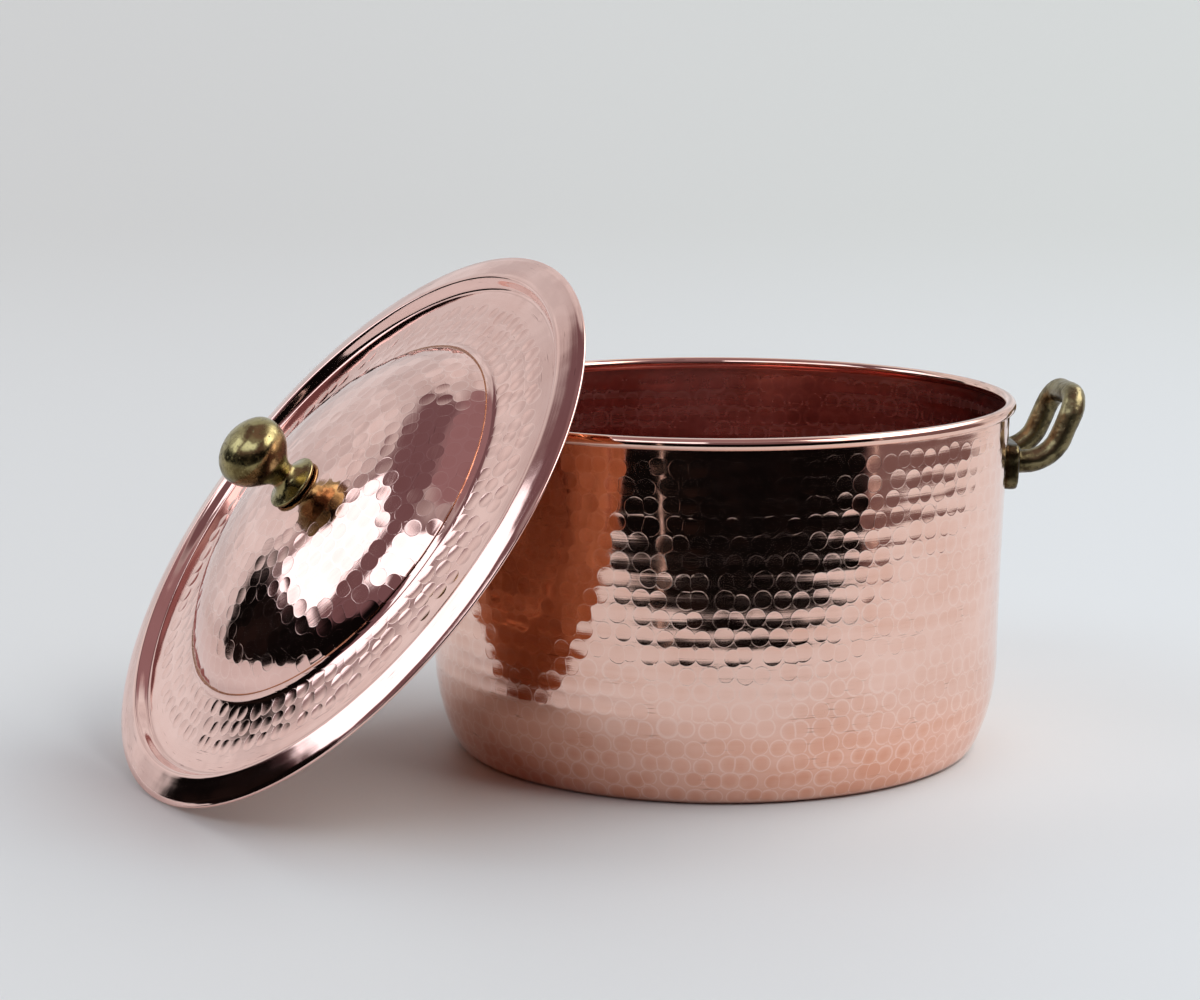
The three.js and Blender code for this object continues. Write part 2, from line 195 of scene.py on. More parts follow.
def sheet_copper(name, colour, dark, roughness, streaks_round_axis, tarnish, hollow_tone, bottom_shade):
    """Hammered sheet: crisp marks whose rims are lightened, partly as rubbed copper and partly as painted
    highlight, painted shade on one side of each mark and, where asked, towards the bottom, turning lines,
    tarnish blotches and fine scratches.
    """
    material, nodes, shader, place = new_material(name)
    if streaks_round_axis:
        place = nodes.add("ShaderNodeAttribute", attribute_name="own_place").outputs["Vector"]
    x, y, z = nodes.split(place)
    if streaks_round_axis:
        across = nodes.math("SQRT", sum_of_squares(nodes, x, y))
    else:
        across = z

    def drawn_out(sideways, lengthways):
        combined = nodes.add("ShaderNodeCombineXYZ")
        nodes.feed(combined.inputs[0], nodes.math("MULTIPLY", x, sideways))
        nodes.feed(combined.inputs[1], nodes.math("MULTIPLY", y, sideways))
        nodes.feed(combined.inputs[2], nodes.math("MULTIPLY", across, lengthways))
        return combined.outputs[0]

    first, first_deep, shaded_side = cap_height(nodes, "mark_a")
    second, _, _ = cap_height(nodes, "mark_b")
    sign = nodes.math("SIGN", first_deep)
    high = nodes.math("MULTIPLY", first, sign)
    low = nodes.math("MAXIMUM", nodes.math("MULTIPLY", second, sign), 0.0)
    sunk = nodes.math("MAXIMUM", nodes.math("MAXIMUM", high, low), 0.0)
    rim_gap = nodes.math("ABSOLUTE", nodes.math("SUBTRACT", high, low))
    hammered = nodes.ramp(nodes.math("ABSOLUTE", first_deep), 0.0, 0.02)
    rim = nodes.math("MULTIPLY", nodes.ramp(rim_gap, 0.001, 0.010, 1.0, 0.0), hammered)
    hollow = nodes.ramp(sunk, 0.006, 0.035)

    streaks = nodes.noise(drawn_out(9.0, 900.0), 1.0, 4.0, 0.65)
    wide = nodes.noise(drawn_out(14.0, 260.0), 1.0, 3.0, 0.6)
    blotch = nodes.noise(place, 22.0, 4.0, 0.6)
    scratches = nodes.ramp(nodes.noise(drawn_out(85.0, 1500.0), 1.0, 2.0, 0.5), 0.62, 0.70)
    dashes = nodes.math("MULTIPLY", scratches, nodes.ramp(nodes.noise(place, 46.0, 2.0), 0.50, 0.62))
    dashes = nodes.math("MULTIPLY", dashes, nodes.ramp(sunk, 0.0, 0.015, 1.0, 0.25))
    stains = nodes.math("ADD", nodes.math("MULTIPLY", blotch, 0.7), nodes.math("MULTIPLY", wide, 0.3))
    shade = nodes.ramp(stains, 0.40, 0.68)
    # painted shade: the sheet is darkened towards the bottom, near the table, most of all in the marks
    if bottom_shade:
        painted_bottom_shade = nodes.ramp(z, 0.008, 0.042, bottom_shade, 0.0)
    else:
        painted_bottom_shade = 0.0
    uneven = nodes.ramp(nodes.noise(place, 60.0, 2.0), 0.32, 0.62, 0.35, 1.0)
    hollow_share = nodes.math("MULTIPLY", nodes.math("MULTIPLY", hollow, uneven),
                              nodes.math("ADD", hollow_tone, painted_bottom_shade))
    if bottom_shade:
        # painted shade: a further darkening of the whole sheet close to the bottom
        hollow_share = nodes.math("ADD", hollow_share, nodes.ramp(z, 0.0, 0.055, 0.50, 0.0))
    amount = nodes.math("ADD", nodes.math("MULTIPLY", shade, tarnish), hollow_share)
    # the rims of the marks are lightened: partly rubbed copper, partly painted highlight
    amount = nodes.math("SUBTRACT", amount, nodes.math("MULTIPLY", rim, 0.35))
    # painted shade: darkens one side of each mark
    painted_side_shade = nodes.math("MULTIPLY", nodes.ramp(first, 0.0, 0.004), nodes.math("MULTIPLY", shaded_side, uneven))
    amount = nodes.math("ADD", amount, nodes.math("MULTIPLY", painted_side_shade, 1.8 * hollow_tone))
    amount = nodes.math("MINIMUM", nodes.math("MAXIMUM", amount, 0.0), 1.0)
    toned = nodes.mix(amount, colour, dark)
    # rims mixed towards bare copper: partly wear, partly painted highlight
    rubbed_and_highlighted = nodes.mix(nodes.math("MULTIPLY", rim, 1.6 * hollow_tone), toned, BARE_COPPER_HIGHLIGHT)
    scratch_colour = tuple(0.42 * c for c in dark[:3]) + (1.0,)
    scratched = nodes.mix(nodes.math("MULTIPLY", dashes, 0.55), rubbed_and_highlighted, scratch_colour)
    nodes.feed(shader.inputs["Base Color"], scratched)
    shader.inputs["Metallic"].default_value = 1.0
    polish = nodes.ramp(wide, 0.35, 0.7, roughness * 0.75, roughness * 1.6)
    nodes.feed(shader.inputs["Roughness"], nodes.math("ADD", polish, nodes.math("MULTIPLY", rim, 0.05)))

    signed = nodes.math("MULTIPLY", nodes.math("MULTIPLY", sunk, sign), -1.0)
    ridge = nodes.math("MULTIPLY", rim, 0.006)
    waves = nodes.math("MULTIPLY", nodes.noise(place, 75.0, 1.0, 0.4), 0.16)
    form = nodes.math("ADD", nodes.math("ADD", signed, ridge), waves)
    pressed = nodes.bump(form, 0.001)
    lines = nodes.bump(streaks, 0.000035, 0.35, pressed)
    grain = nodes.noise(place, 2600.0, 2.0, 0.5)
    nodes.feed(shader.inputs["Normal"], nodes.bump(grain, 0.000012, 0.25, lines))
    return material


def cast_brass(name, colour, dark, roughness, dark_root):
    """Aged casting: olive gold with brown patina in patches, pits, and rubbed bright patches; painted
    shade darkens the sides that face down, and where asked the casting is darker towards its root at the
    wall.
    """
    material, nodes, shader, place = new_material(name)
    patches = nodes.noise(place, 95.0, 5.0, 0.62)
    fine = nodes.noise(place, 520.0, 4.0, 0.6)
    pits = nodes.add("ShaderNodeTexVoronoi")
    nodes.feed(pits.inputs["Vector"], place)
    pits.inputs["Scale"].default_value = 620.0
    pit_here = nodes.math("MULTIPLY", nodes.ramp(pits.outputs["Distance"], 0.10, 0.30, 1.0, 0.0),
                          nodes.ramp(nodes.noise(place, 210.0, 2.0), 0.50, 0.62))
    stains = nodes.math("ADD", nodes.math("MULTIPLY", patches, 0.65), nodes.math("MULTIPLY", fine, 0.35))
    age = nodes.ramp(stains, 0.44, 0.66)
    # painted shade: the sides that face down are darkened
    upward = nodes.split(nodes.add("ShaderNodeTexCoord").outputs["Normal"])[2]
    underside_shade_and_root_dark = nodes.ramp(upward, -0.75, 0.40, 0.75, 0.0)
    # with dark_root the casting is also darker towards its root at the wall
    if dark_root:
        outward = nodes.split(place)[0]
        underside_shade_and_root_dark = nodes.math("MAXIMUM", underside_shade_and_root_dark, nodes.ramp(outward, 0.130, 0.141, 0.85, 0.0))
    underside_shade_and_root_dark = nodes.math("MULTIPLY", underside_shade_and_root_dark, nodes.ramp(patches, 0.30, 0.50, 0.55, 1.0))
    aged = nodes.math("MINIMUM", nodes.math("ADD", nodes.math("MULTIPLY", age, 0.60), underside_shade_and_root_dark), 1.0)
    toned = nodes.mix(aged, colour, dark)
    spotted = nodes.mix(nodes.math("MULTIPLY", pit_here, 0.85), toned, PIT_DIRT)
    nodes.feed(shader.inputs["Base Color"], spotted)
    shader.inputs["Metallic"].default_value = 1.0
    nodes.feed(shader.inputs["Roughness"], nodes.ramp(age, 0.0, 1.0, roughness, roughness + 0.20))
    hollow = nodes.math("SUBTRACT", nodes.math("MULTIPLY", fine, 0.6), pit_here)
    nodes.feed(shader.inputs["Normal"], nodes.bump(hollow, 0.00022, 0.5))
    return material


def turned_metal(name, colour, roughness):
    """Plain turned or drawn metal with faint lathe lines and small stains."""
    material, nodes, shader, place = new_material(name)
    stains = nodes.noise(place, 240.0, 4.0, 0.6)
    dull = tuple(0.55 * c for c in colour[:3]) + (1.0,)
    painted_side_shade = nodes.ramp(stains, 0.45, 0.75, 0.0, 0.7)
    nodes.feed(shader.inputs["Base Color"], nodes.mix(painted_side_shade, colour, dull))
    shader.inputs["Metallic"].default_value = 1.0
    nodes.feed(shader.inputs["Roughness"], nodes.ramp(stains, 0.3, 0.7, roughness, roughness + 0.18))
    nodes.feed(shader.inputs["Normal"], nodes.bump(nodes.noise(place, 900.0, 3.0), 0.00004, 0.4))
    return material


# the last number darkens the pot towards its bottom as painted shade
POT_COPPER = sheet_copper(
    "pot_copper", (0.95, 0.64, 0.54, 1), (0.80, 0.41, 0.29, 1), 0.062, False, 0.42, 0.15, 0.24)
# the inside is a darker, duller copy of the copper: partly tarnish, partly painted shade
POT_INSIDE = sheet_copper(
    "pot_inside", (0.58, 0.27, 0.24, 1), (0.42, 0.16, 0.13, 1), 0.20, False, 1.0, 0.05, 0.0)
LID_COPPER = sheet_copper(
    "lid_copper", (0.94, 0.62, 0.55, 1), (0.78, 0.44, 0.37, 1), 0.055, True, 0.42, 0.18, 0.0)
# the lid's underside is a darker, redder copy of the copper: partly tarnish, partly painted shade
LID_INSIDE = sheet_copper(
    "lid_inside", (0.66, 0.25, 0.115, 1), (0.44, 0.14, 0.055, 1), 0.20, True, 1.0, 0.10, 0.0)
HANDLE_BRASS = cast_brass("handle_brass", (0.30, 0.245, 0.128, 1), (0.045, 0.031, 0.013, 1), 0.28, True)
KNOB_BRASS = cast_brass("knob_brass", (0.40, 0.33, 0.15, 1), (0.12, 0.085, 0.032, 1), 0.19, False)
RIVET_COPPER = turned_metal("rivet_copper", (0.60, 0.31, 0.21, 1), 0.28)
SCREW_BRASS = turned_metal("screw_brass", (0.58, 0.45, 0.22, 1), 0.28)
WIRE_STEEL = turned_metal("wire_steel", (0.50, 0.50, 0.50, 1), 0.35)


# ---------------------------------------------------------------- mesh helpers
def add_object(name, vertices, faces, materials, face_material=None, place=None, normals=None):
    points = np.asarray(vertices, dtype=float) * MM
    if place is not None:                                # shapes are put in place point by point
        turn = np.array(place.to_3x3())
        points = points @ turn.T + np.array(place.translation)
        normals = None if normals is None else normals @ turn.T
    mesh = bpy.data.meshes.new(name)
    mesh.from_pydata(points.tolist(), [], faces)
    for material in materials:
        mesh.materials.append(material)
    if face_material is not None:
        mesh.polygons.foreach_set("material_index", np.asarray(face_material, dtype=np.int32))
    mesh.shade_smooth()
    mesh.update()
    if normals is not None:
        mesh.normals_split_custom_set_from_vertices(normals.tolist())
    piece = bpy.data.objects.new(name, mesh)
    bpy.context.scene.collection.objects.link(piece)
    return piece


def profile_normals(points, closed):
    """Unit normals on the right of an outline that runs through (radius, height) points."""
    if closed:
        along = np.roll(points, -1, axis=0) - np.roll(points, 1, axis=0)
    else:
        along = np.gradient(points, axis=0)
    length = np.hypot(along[:, 0], along[:, 1])
    return np.stack([along[:, 1], -along[:, 0]], axis=1) / np.maximum(length, 1e-9)[:, None]


def join_rings(first, first_count, second, second_count):
    """Faces between two rings, given the index of each ring's first vertex. Counts are equal or 1:2."""
    faces = []
    if first_count == 1:
        for j in range(second_count):
            faces.append((first, second + (j + 1) % second_count, second + j))
    elif second_count == 1:
        for j in range(first_count):
            faces.append((first + j, first + (j + 1) % first_count, second))
    elif first_count == second_count:
        for j in range(first_count):
            k = (j + 1) % first_count
            faces.append((first + j, first + k, second + k, second + j))
    elif first_count == 2 * second_count:
        for j in range(second_count):
            k = (j + 1) % second_count
            a, b, c = first + 2 * j, first + 2 * j + 1, first + (2 * j + 2) % first_count
            faces += [(a, b, second + j), (b, second + k, second + j), (b, c, second + k)]
    else:
        for j in range(first_count):
            k = (j + 1) % first_count
            a, b, c = second + 2 * j, second + 2 * j + 1, second + (2 * j + 2) % second_count
            faces += [(first + j, b, a), (first + j, first + k, b), (first + k, c, b)]
    return faces


def revolve(points, counts, sink=None, closed=False):
    """A body of revolution. sink(i, turns) says how deep ring i is pressed in at each angle."""
    points = np.asarray(points, dtype=float)
    normals = profile_normals(points, closed)
    vertices, smooth, starts = [], [], []
    for i, (point, normal, count) in enumerate(zip(points, normals, counts)):
        starts.append(sum(len(v) for v in vertices))
        if count == 1:
            vertices.append(np.array([[0.0, 0.0, point[1]]]))
            smooth.append(np.array([[0.0, 0.0, math.copysign(1.0, normal[1])]]))
            continue
        turns = np.arange(count) * FULL_TURN / count
        depth = sink(i, turns) if sink else np.zeros(count)
        radius = point[0] - normal[0] * depth
        height = point[1] - normal[1] * depth
        vertices.append(np.stack([radius * np.cos(turns), radius * np.sin(turns), height], axis=1))
        smooth.append(np.stack([
            normal[0] * np.cos(turns), normal[0] * np.sin(turns), np.full(count, normal[1]),
        ], axis=1))
    faces, owner = [], []
    pairs = list(range(len(points) - 1)) + ([len(points) - 1] if closed else [])
    for i in pairs:
        j = (i + 1) % len(points)
        new = join_rings(starts[i], counts[i], starts[j], counts[j])
        faces += new
        owner += [i] * len(new)
    return np.concatenate(vertices), faces, np.array(owner), np.concatenate(smooth)


def resample(points, step):
    """The same polyline with points every step or so, keeping both ends."""
    points = np.asarray(points, dtype=float)
    along = np.concatenate([[0.0], np.cumsum(np.hypot(*np.diff(points, axis=0).T))])
    marks = np.linspace(0.0, along[-1], max(2, int(round(along[-1] / step)) + 1))
    return np.stack([np.interp(marks, along, points[:, 0]), np.interp(marks, along, points[:, 1])], axis=1)


def arc(centre, radius, start, end, steps):
    angles = np.linspace(start, end, steps + 1)
    return np.stack([centre[0] + radius * np.cos(angles), centre[1] + radius * np.sin(angles)], axis=1)


class HammerMarks:
    """Rows of round planishing marks. Each row is (distance along the profile, radius from the axis)."""

    def __init__(self, seed, rows, size=(3.4, 4.25), depth=(0.032, 0.062)):
        dice = np.random.default_rng(seed)
        self.middles = np.array([along for along, _ in rows])
        around = [FULL_TURN * radius / MARK_PITCH for _, radius in rows]
        self.counts = np.array([max(6, int(round(count))) for count in around])
        self.starts = np.concatenate([[0], np.cumsum(self.counts)[:-1]])
        self.offsets = dice.uniform(size=len(rows))
        along, turn = [], []
        for middle, count, offset in zip(self.middles, self.counts, self.offsets):
            along.append(middle + dice.uniform(-1.0, 1.0, count))
            shift = dice.uniform(-0.27, 0.27, count)
            turn.append((np.arange(count) + offset + shift) * FULL_TURN / count)
        self.along, self.turn = np.concatenate(along), np.concatenate(turn)
        self.size = dice.uniform(*size, len(self.turn))
        self.deep = dice.uniform(*depth, len(self.turn))
        self.deep *= np.repeat(dice.uniform(0.6, 1.35, len(rows)), self.counts)
        self.lean = dice.uniform(-0.015, 0.015, len(rows))

    def bed(self, along):
        """Height of the rows: each is a narrow band that leans a little, with a land between two."""
        half = BAND_HALF_WIDTH
        knots = np.stack([self.middles - half, self.middles + half], axis=1).ravel()
        heights = np.stack([-half * self.lean, half * self.lean], axis=1).ravel()
        return np.interp(along, knots, heights, left=0.0, right=0.0)

    def near(self, along, radius, turns):
        """For each place, the marks around it: (mark, cap height), with one pair for each candidate."""
        along, radius, turns = np.broadcast_arrays(along, radius, turns)
        row = np.abs(self.middles[None, :] - along.reshape(-1, 1)).argmin(axis=1).reshape(along.shape)
        found = []
        for row_shift in (-1, 0, 1):
            here = np.clip(row + row_shift, 0, len(self.middles) - 1)
            count = self.counts[here]
            nearest = np.round(turns * count / FULL_TURN - self.offsets[here]).astype(int)
            for shift in (-1, 0, 1):
                mark = self.starts[here] + (nearest + shift) % count
                away = (turns - self.turn[mark] + math.pi) % FULL_TURN - math.pi
                dx, dy = away * radius, along - self.along[mark]
                cap = self.deep[mark] * (1.0 - (dx * dx + dy * dy) / self.size[mark] ** 2)
                if row_shift:                    # a clipped row is the same row again
                    cap = np.where(here == row, -9.0, cap)
                found.append((mark, cap))
        return found

    def depth(self, along, radius, turns):
        deepest = np.zeros(len(turns))
        for _, cap in self.near(along, radius, turns):
            deepest = np.maximum(deepest, cap)
        return deepest

    def label(self, mesh, along, radius, turns, fade):
        """Gives each face corner its place in the two marks nearest to that face, and their strength."""
        corner = np.empty(len(mesh.loops), dtype=np.int64)
        mesh.loops.foreach_get("vertex_index", corner)
        first = np.empty(len(mesh.polygons), dtype=np.int64)
        mesh.polygons.foreach_get("loop_start", first)
        sizes = np.diff(np.append(first, len(corner)))
        face = np.repeat(np.arange(len(first)), sizes)

        def middle(values):
            return np.add.reduceat(values[corner], first) / sizes

        turn = np.arctan2(middle(np.sin(turns)), middle(np.cos(turns)))
        found = self.near(middle(along), middle(radius), turn)
        marks = np.stack([mark for mark, _ in found])
        caps = np.stack([cap for _, cap in found])
        order = np.argsort(-caps, axis=0)[:2]
        for name, pick in zip(("mark_a", "mark_b"), order):
            mark = np.take_along_axis(marks, pick[None], axis=0)[0][face]
            away = (turns[corner] - self.turn[mark] + math.pi) % FULL_TURN - math.pi
            values = np.stack([
                away * radius[corner] / self.size[mark],
                (along[corner] - self.along[mark]) / self.size[mark],
                self.deep[mark] * fade[corner],
            ], axis=1)
            attribute = mesh.attributes.new(name, "FLOAT_VECTOR", "CORNER")
            attribute.data.foreach_set("vector", values.astype(np.float32).ravel())


# ---------------------------------------------------------------- pot
FOOT_END = (BASE_RADIUS + FOOT_ARC * math.sin(FOOT_TURN), FOOT_ARC * (1 - math.cos(FOOT_TURN)))
WALL_FOOT = (
    FOOT_END[0] + SHOULDER_ARC * (math.cos(WALL_LEAN) - math.sin(FOOT_TURN)),
    FOOT_END[1] + SHOULDER_ARC * (math.cos(FOOT_TURN) - math.sin(WALL_LEAN)),
)
BEAD_CENTRE = (RIM_RADIUS - BEAD, POT_HEIGHT - BEAD)


def wall_radius(height):
    u = (height - WALL_FOOT[1]) / (BEAD_CENTRE[1] - WALL_FOOT[1])
    return WALL_FOOT[0] + (WALL_TOP - WALL_FOOT[0]) * (FLARE_SHARE * u + (1 - FLARE_SHARE) * u * u)


def pot_face(inset, top):
    """Foot arc, shoulder and wall, from the edge of the flat base up to a height."""
    foot_centre = (BASE_RADIUS, FOOT_ARC)
    shoulder_centre = (
        FOOT_END[0] - SHOULDER_ARC * math.sin(FOOT_TURN),
        FOOT_END[1] + SHOULDER_ARC * math.cos(FOOT_TURN),
    )
    down = -math.pi / 2
    foot = arc(foot_centre, FOOT_ARC - inset, down, down + FOOT_TURN, 10)
    shoulder = arc(shoulder_centre, SHOULDER_ARC - inset, down + FOOT_TURN, -WALL_LEAN, 30)
    heights = np.linspace(WALL_FOOT[1], top, 60)
    wall = np.stack([wall_radius(heights) - inset, heights], axis=1)
    return np.concatenate([foot, shoulder[1:], wall[1:]])


def build_pot():
    hollow = BEAD - SHEET
    seam = math.radians(-57)
    wall_out = math.asin((WALL_TOP - BEAD_CENTRE[0]) / hollow) - math.pi / 2
    wall_in = math.asin((WALL_TOP - SHEET - BEAD_CENTRE[0]) / BEAD) - math.pi / 2
    top = BEAD_CENTRE[1] - BEAD
    outer = resample(pot_face(0.0, top), 1.35)
    inner = resample(pot_face(SHEET, top), 4.6)[::-1]
    curl_in = arc(BEAD_CENTRE, hollow, wall_out, seam - FULL_TURN, 9)
    curl_out = arc(BEAD_CENTRE, BEAD, seam, wall_in + FULL_TURN, 18)
    base_out = [(0.0, 0.0), (20.0, 0.0), (45.0, 0.0), (75.0, 0.0), (100.0, 0.0)]
    base_in = [(100.0, SHEET), (75.0, SHEET), (45.0, SHEET), (20.0, SHEET), (0.0, SHEET)]

    fine, middle, coarse = 672, 336, 168
    parts = [
        (np.array(base_out), [1, 84, 168, 336, 336]),
        (outer, [fine] * len(outer)),
        (curl_in, [middle] * len(curl_in)),
        (curl_out, [middle] * len(curl_out)),
        (inner, [middle] * len(inner)),
        (np.array(base_in), [168, 168, 84, 42, 1]),
    ]
    points = np.concatenate([p for p, _ in parts])
    counts = [c for _, part in parts for c in part]
    first_outer = len(base_out)
    first_inner = first_outer + len(outer) + len(curl_in) + len(curl_out)

    along = np.concatenate([[0.0], np.cumsum(np.hypot(*np.diff(outer, axis=0).T))])
    rows = []
    reach = 8.0
    while reach < along[-1] - 1.5:
        rows.append((reach, float(np.interp(reach, along, outer[:, 0]))))
        reach += ROW_PITCH
    marks = HammerMarks(11, rows)
    inner_along = np.interp(inner[:, 1], outer[:, 1], along)
    whole_along = np.zeros(len(points))
    whole_along[first_outer:first_outer + len(outer)] = along
    whole_along[first_inner:first_inner + len(inner)] = inner_along
    groove = ROW_GROOVE * (0.5 + 0.5 * np.cos((along - 8.0) * FULL_TURN / ROW_PITCH)) - marks.bed(along)
    groove *= np.clip((along - 4.0) / 6.0, 0, 1) * np.clip((along[-1] - along) / 6.0, 0, 1)
    points[first_outer:first_outer + len(outer)] -= profile_normals(outer, False) * groove[:, None]

    def sink(i, turns):
        if first_outer <= i < first_outer + len(outer):
            k = i - first_outer
            return marks.depth(along[k], outer[k, 0], turns)
        if first_inner <= i < first_inner + len(inner):
            k = i - first_inner
            return -0.35 * marks.depth(inner_along[k], inner[k, 0], turns)
        return np.zeros(len(turns))

    vertices, faces, owner, smooth = revolve(points, counts, sink)
    pot = add_object("pot_shell", vertices, faces, (POT_COPPER, POT_INSIDE), owner >= first_inner,
                     normals=smooth)
    ring = np.repeat(np.arange(len(counts)), counts)
    outside = (ring >= first_outer) & (ring < first_outer + len(outer))
    inside = (ring >= first_inner) & (ring < first_inner + len(inner))
    marks.label(pot.data, whole_along[ring], np.maximum(points[ring, 0], 1.0),
                np.arctan2(vertices[:, 1], vertices[:, 0]), outside - 0.3 * inside)
    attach(pot, "pot")
    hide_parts("pot_body")
    return pot


# ---------------------------------------------------------------- rivets
def build_rivet(node, angle):
    seat = wall_radius(HANDLE_Z - 5.5) - SHEET - GAP
    tail = wall_radius(HANDLE_Z) + GAP + 6.0 + GAP
    outline = np.concatenate([
        [(0.0, seat - 1.3), (3.4, seat - 1.3)],
        arc((4.6, seat - 0.5), 0.8, -math.pi / 2, 0.0, 5),
        [(5.4, seat - 0.15), (5.3, seat), (2.5, seat)],
        [(2.5, tail), (4.0, tail), (4.25, tail + 0.15)],
        [(4.3 * math.cos(a), tail + 0.2 + 1.8 * math.sin(a)) for a in np.linspace(0.12, math.pi / 2, 12)],
    ])
    outline[-1, 0] = 0.0
    counts = [1] + [40] * (len(outline) - 2) + [1]
    dice = np.random.default_rng(int(1000 + 10 * math.degrees(angle)))
    dents = dice.uniform(0.0, 0.10, (len(outline), 8))

    def sink(i, turns):
        if i < len(outline) - 11 or i > len(outline) - 2:
            return np.zeros(len(turns))
        ring = np.concatenate([dents[i], dents[i][:1]])
        return np.interp(turns, np.linspace(0, FULL_TURN, 9), ring)

    vertices, faces, _, _ = revolve(outline, counts, sink)
    place = (
        Matrix.Rotation(angle, 4, "Z")
        @ Matrix.Translation((0, 0, HANDLE_Z * MM))
        @ Matrix.Rotation(math.pi / 2, 4, "Y")
    )
    rivet = add_object(node + "_head", vertices, faces, (RIVET_COPPER,), place=place)
    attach(rivet, "pot")
    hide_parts(node)


# ---------------------------------------------------------------- handles
BAR = 5.2
LEG_Y, LEG_Z = 16.8, 123.3
CORNER = 9.7
REACH = 46.8
LEG_START, BEND_START = 128.0, 135.6
BEND_RADIUS, BEND_ANGLE = 17.5, math.radians(66.3)
PLATE_LENGTH, PLATE_HEIGHT, PLATE_THICK, PLATE_CORNER = 60.0, 20.0, 6.0, 5.0


def loop_point(along, across):
    straight = BEND_START - LEG_START
    turned = min(max((along - straight) / BEND_RADIUS, 0.0), BEND_ANGLE)
    rest = max(0.0, along - straight - BEND_RADIUS * BEND_ANGLE)
    return Vector((
        LEG_START + min(along, straight) + BEND_RADIUS * math.sin(turned) + rest * math.cos(BEND_ANGLE),
        across,
        LEG_Z + BEND_RADIUS * (1 - math.cos(turned)) + rest * math.sin(BEND_ANGLE),
    ))


def loop_centres():
    leg_end = REACH - CORNER
    side = [(leg_end * i / 24, -LEG_Y) for i in range(25)]
    for i in range(1, 13):
        angle = math.pi / 2 * i / 12
        side.append((leg_end + CORNER * math.sin(angle), -LEG_Y + CORNER * (1 - math.cos(angle))))
    across = [(REACH, (-LEG_Y + CORNER) * (1 - 2 * i / 14)) for i in range(1, 14)]
    far = [(a, -b) for a, b in side][::-1]
    return [loop_point(a, b) for a, b in side + across + far]


def sweep(centres, radius, sides):
    """A round bar along a line of points, closed at both ends."""
    verts, faces = [], []
    tangents = []
    for i, centre in enumerate(centres):
        tangents.append((centres[min(i + 1, len(centres) - 1)] - centres[max(i - 1, 0)]).normalized())
    normal = tangents[0].orthogonal().normalized()
    for i, centre in enumerate(centres):
        if i:
            normal = (tangents[i - 1].rotation_difference(tangents[i])) @ normal
        side = tangents[i].cross(normal)
        for j in range(sides):
            angle = FULL_TURN * j / sides
            verts.append(centre + (normal * math.cos(angle) + side * math.sin(angle)) * radius)
    for i in range(len(centres) - 1):
        for j in range(sides):
            k = (j + 1) % sides
            faces.append((i * sides + j, i * sides + k, (i + 1) * sides + k, (i + 1) * sides + j))
    last = (len(centres) - 1) * sides
    faces.append(tuple(range(sides))[::-1])
    faces.append(tuple(range(last, last + sides)))
    return [tuple(v) for v in verts], faces


def plate_solid():
    """The base plate: a rounded slab bent round the wall, a little crowned on its outside."""
    nu, nv = 40, 14
    front, back = [], []
    for i in range(nv + 1):
        z = (i / nv - 0.5) * PLATE_HEIGHT
        for j in range(nu + 1):
            y = (j / nu - 0.5) * PLATE_LENGTH
            corner_y = max(0.0, abs(y) - (PLATE_LENGTH / 2 - PLATE_CORNER))
            corner_z = max(0.0, abs(z) - (PLATE_HEIGHT / 2 - PLATE_CORNER))
            far = math.hypot(corner_y, corner_z)
            squeeze = PLATE_CORNER / far if far > PLATE_CORNER else 1.0
            yy = math.copysign(abs(y) - corner_y + corner_y * squeeze, y)
            zz = math.copysign(abs(z) - corner_z + corner_z * squeeze, z)
            inside = wall_radius(HANDLE_Z + zz) + GAP
            edge = min(1.0, max(0.0, (PLATE_CORNER - far * squeeze) / 1.6)) if far > 0 else 1.0
            outside = inside + PLATE_THICK - 1.1 * (1 - edge) ** 2
            angle = yy / (inside + PLATE_THICK)
            front.append((outside * math.cos(angle), outside * math.sin(angle), HANDLE_Z + zz))
            back.append((inside * math.cos(angle), inside * math.sin(angle), HANDLE_Z + zz))
    size = len(front)
    verts = front + back
    faces = []
    for i in range(nv):
        for j in range(nu):
            a = i * (nu + 1) + j
            b, c, d = a + 1, a + nu + 2, a + nu + 1
            faces.append((a, b, c, d))
            faces.append((size + d, size + c, size + b, size + a))
    rim = [i for i in range(nu + 1)]
    rim += [(i + 1) * (nu + 1) + nu for i in range(nv)]
    rim += [nv * (nu + 1) + nu - 1 - i for i in range(nu)]
    rim += [(nv - 1 - i) * (nu + 1) for i in range(nv - 1)]
    for k, a in enumerate(rim):
        b = rim[(k + 1) % len(rim)]
        faces.append((b, a, size + a, size + b))
    return verts, faces


def apply_modifiers(piece):
    view = bpy.context.evaluated_depsgraph_get()
    mesh = bpy.data.meshes.new_from_object(piece.evaluated_get(view))
    old = piece.data
    piece.modifiers.clear()
    piece.data = mesh
    bpy.data.meshes.remove(old)


def roughen(piece, coarse, fine, seed):
    """Moves every vertex along its normal by smooth noise, as on a sand casting."""
    mesh = piece.data
    count = len(mesh.vertices)
    places = np.empty(count * 3)
    mesh.vertices.foreach_get("co", places)
    normals = np.empty(count * 3)
    mesh.vertices.foreach_get("normal", normals)
    places, normals = places.reshape(-1, 3), normals.reshape(-1, 3)
    offset = Vector((seed * 3.7, seed * 1.3, 0))
    moves = np.array([
        coarse * noise.noise(Vector(p) * 140 + offset) + fine * noise.noise(Vector(p) * 620 + offset)
        for p in places
    ])
    places = places + normals * moves[:, None] * MM
    mesh.vertices.foreach_set("co", places.ravel())
    mesh.update()


